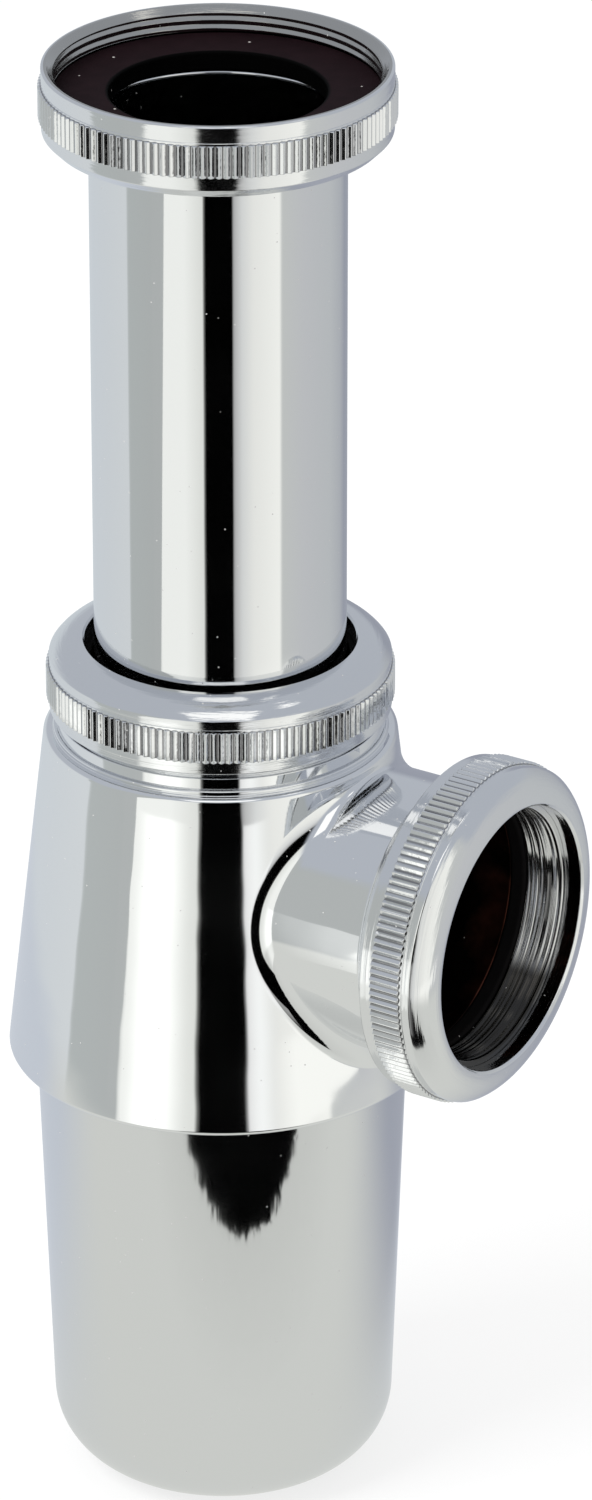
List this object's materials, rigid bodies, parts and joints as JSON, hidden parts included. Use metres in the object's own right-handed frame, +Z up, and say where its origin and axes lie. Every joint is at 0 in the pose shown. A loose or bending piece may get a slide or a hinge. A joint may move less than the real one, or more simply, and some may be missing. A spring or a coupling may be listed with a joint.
{
  "type": "basin bottle trap",
  "caption": "Telescopic bottle trap for a basin: sliding inlet tube, knurled slip nuts, conical body with side outlet, screw-on cup.",
  "frame": {"origin": "centre of the cup's flat base, on the trap's axis", "axes": "+Z up along the inlet tube and cup, +X along the outlet branch, towards its nut"},
  "size_m": [0.0711, 0.055, 0.1941],
  "materials": {
    "chrome": "polished chrome plate on brass",
    "turned_metal": "turned, fine lathe lines",
    "washer_rubber": "smooth moulded, faint brown tint",
    "seal_rubber": "smooth moulded"
  },
  "bodies": {
    "cup": {"cup": "chrome"},
    "cup_seal": {"cup_seal": "seal_rubber"},
    "body": {"trap_body": "chrome", "neck_seal": "seal_rubber", "outlet_seal": "seal_rubber"},
    "tube": {"inlet_tube": "chrome", "inlet_washer": "washer_rubber"},
    "inlet_nut": {"inlet_nut": "chrome"},
    "neck_slip_ring": {"neck_slip_ring": "seal_rubber"},
    "neck_nut": {"neck_nut": "chrome"},
    "outlet_slip_ring": {"outlet_slip_ring": "turned_metal"},
    "outlet_nut": {"outlet_nut": "chrome"}
  },
  "joints": [
    {"name": "body_lift", "type": "slide", "parent": "cup", "child": "cup_seal", "axis": [0, 0, 1], "range_m": [0, 0.0045]},
    {"name": "body_turn", "type": "hinge", "parent": "cup_seal", "child": "body", "pos_m": [0, 0, 0.0685], "axis": [0, 0, 1], "range_deg": [0, 1080]},
    {"name": "tube_slide", "type": "slide", "parent": "body", "child": "tube", "axis": [0, 0, 1], "range_m": [-0.012, 0.04]},
    {"name": "inlet_nut_turn", "type": "hinge", "parent": "tube", "child": "inlet_nut", "pos_m": [0, 0, 0.19], "axis": [0, 0, 1], "continuous": true},
    {"name": "neck_nut_lift", "type": "slide", "parent": "body", "child": "neck_slip_ring", "axis": [0, 0, 1], "range_m": [0, 0.0045]},
    {"name": "neck_nut_turn", "type": "hinge", "parent": "neck_slip_ring", "child": "neck_nut", "pos_m": [0, 0, 0.1126], "axis": [0, 0, 1], "range_deg": [0, 1080]},
    {"name": "outlet_nut_travel", "type": "slide", "parent": "body", "child": "outlet_slip_ring", "axis": [1, 0, 0], "range_m": [0, 0.0045]},
    {"name": "outlet_nut_turn", "type": "hinge", "parent": "outlet_slip_ring", "child": "outlet_nut", "pos_m": [0.039, 0, 0.0858], "axis": [1, 0, 0], "range_deg": [0, 1080]}
  ],
  "couplings": [
    {"joint": "body_lift", "follows": "body_turn", "m_per_rad": 0.00023873},
    {"joint": "neck_nut_lift", "follows": "neck_nut_turn", "m_per_rad": 0.00023873},
    {"joint": "outlet_nut_travel", "follows": "outlet_nut_turn", "m_per_rad": 0.00023873}
  ]
}
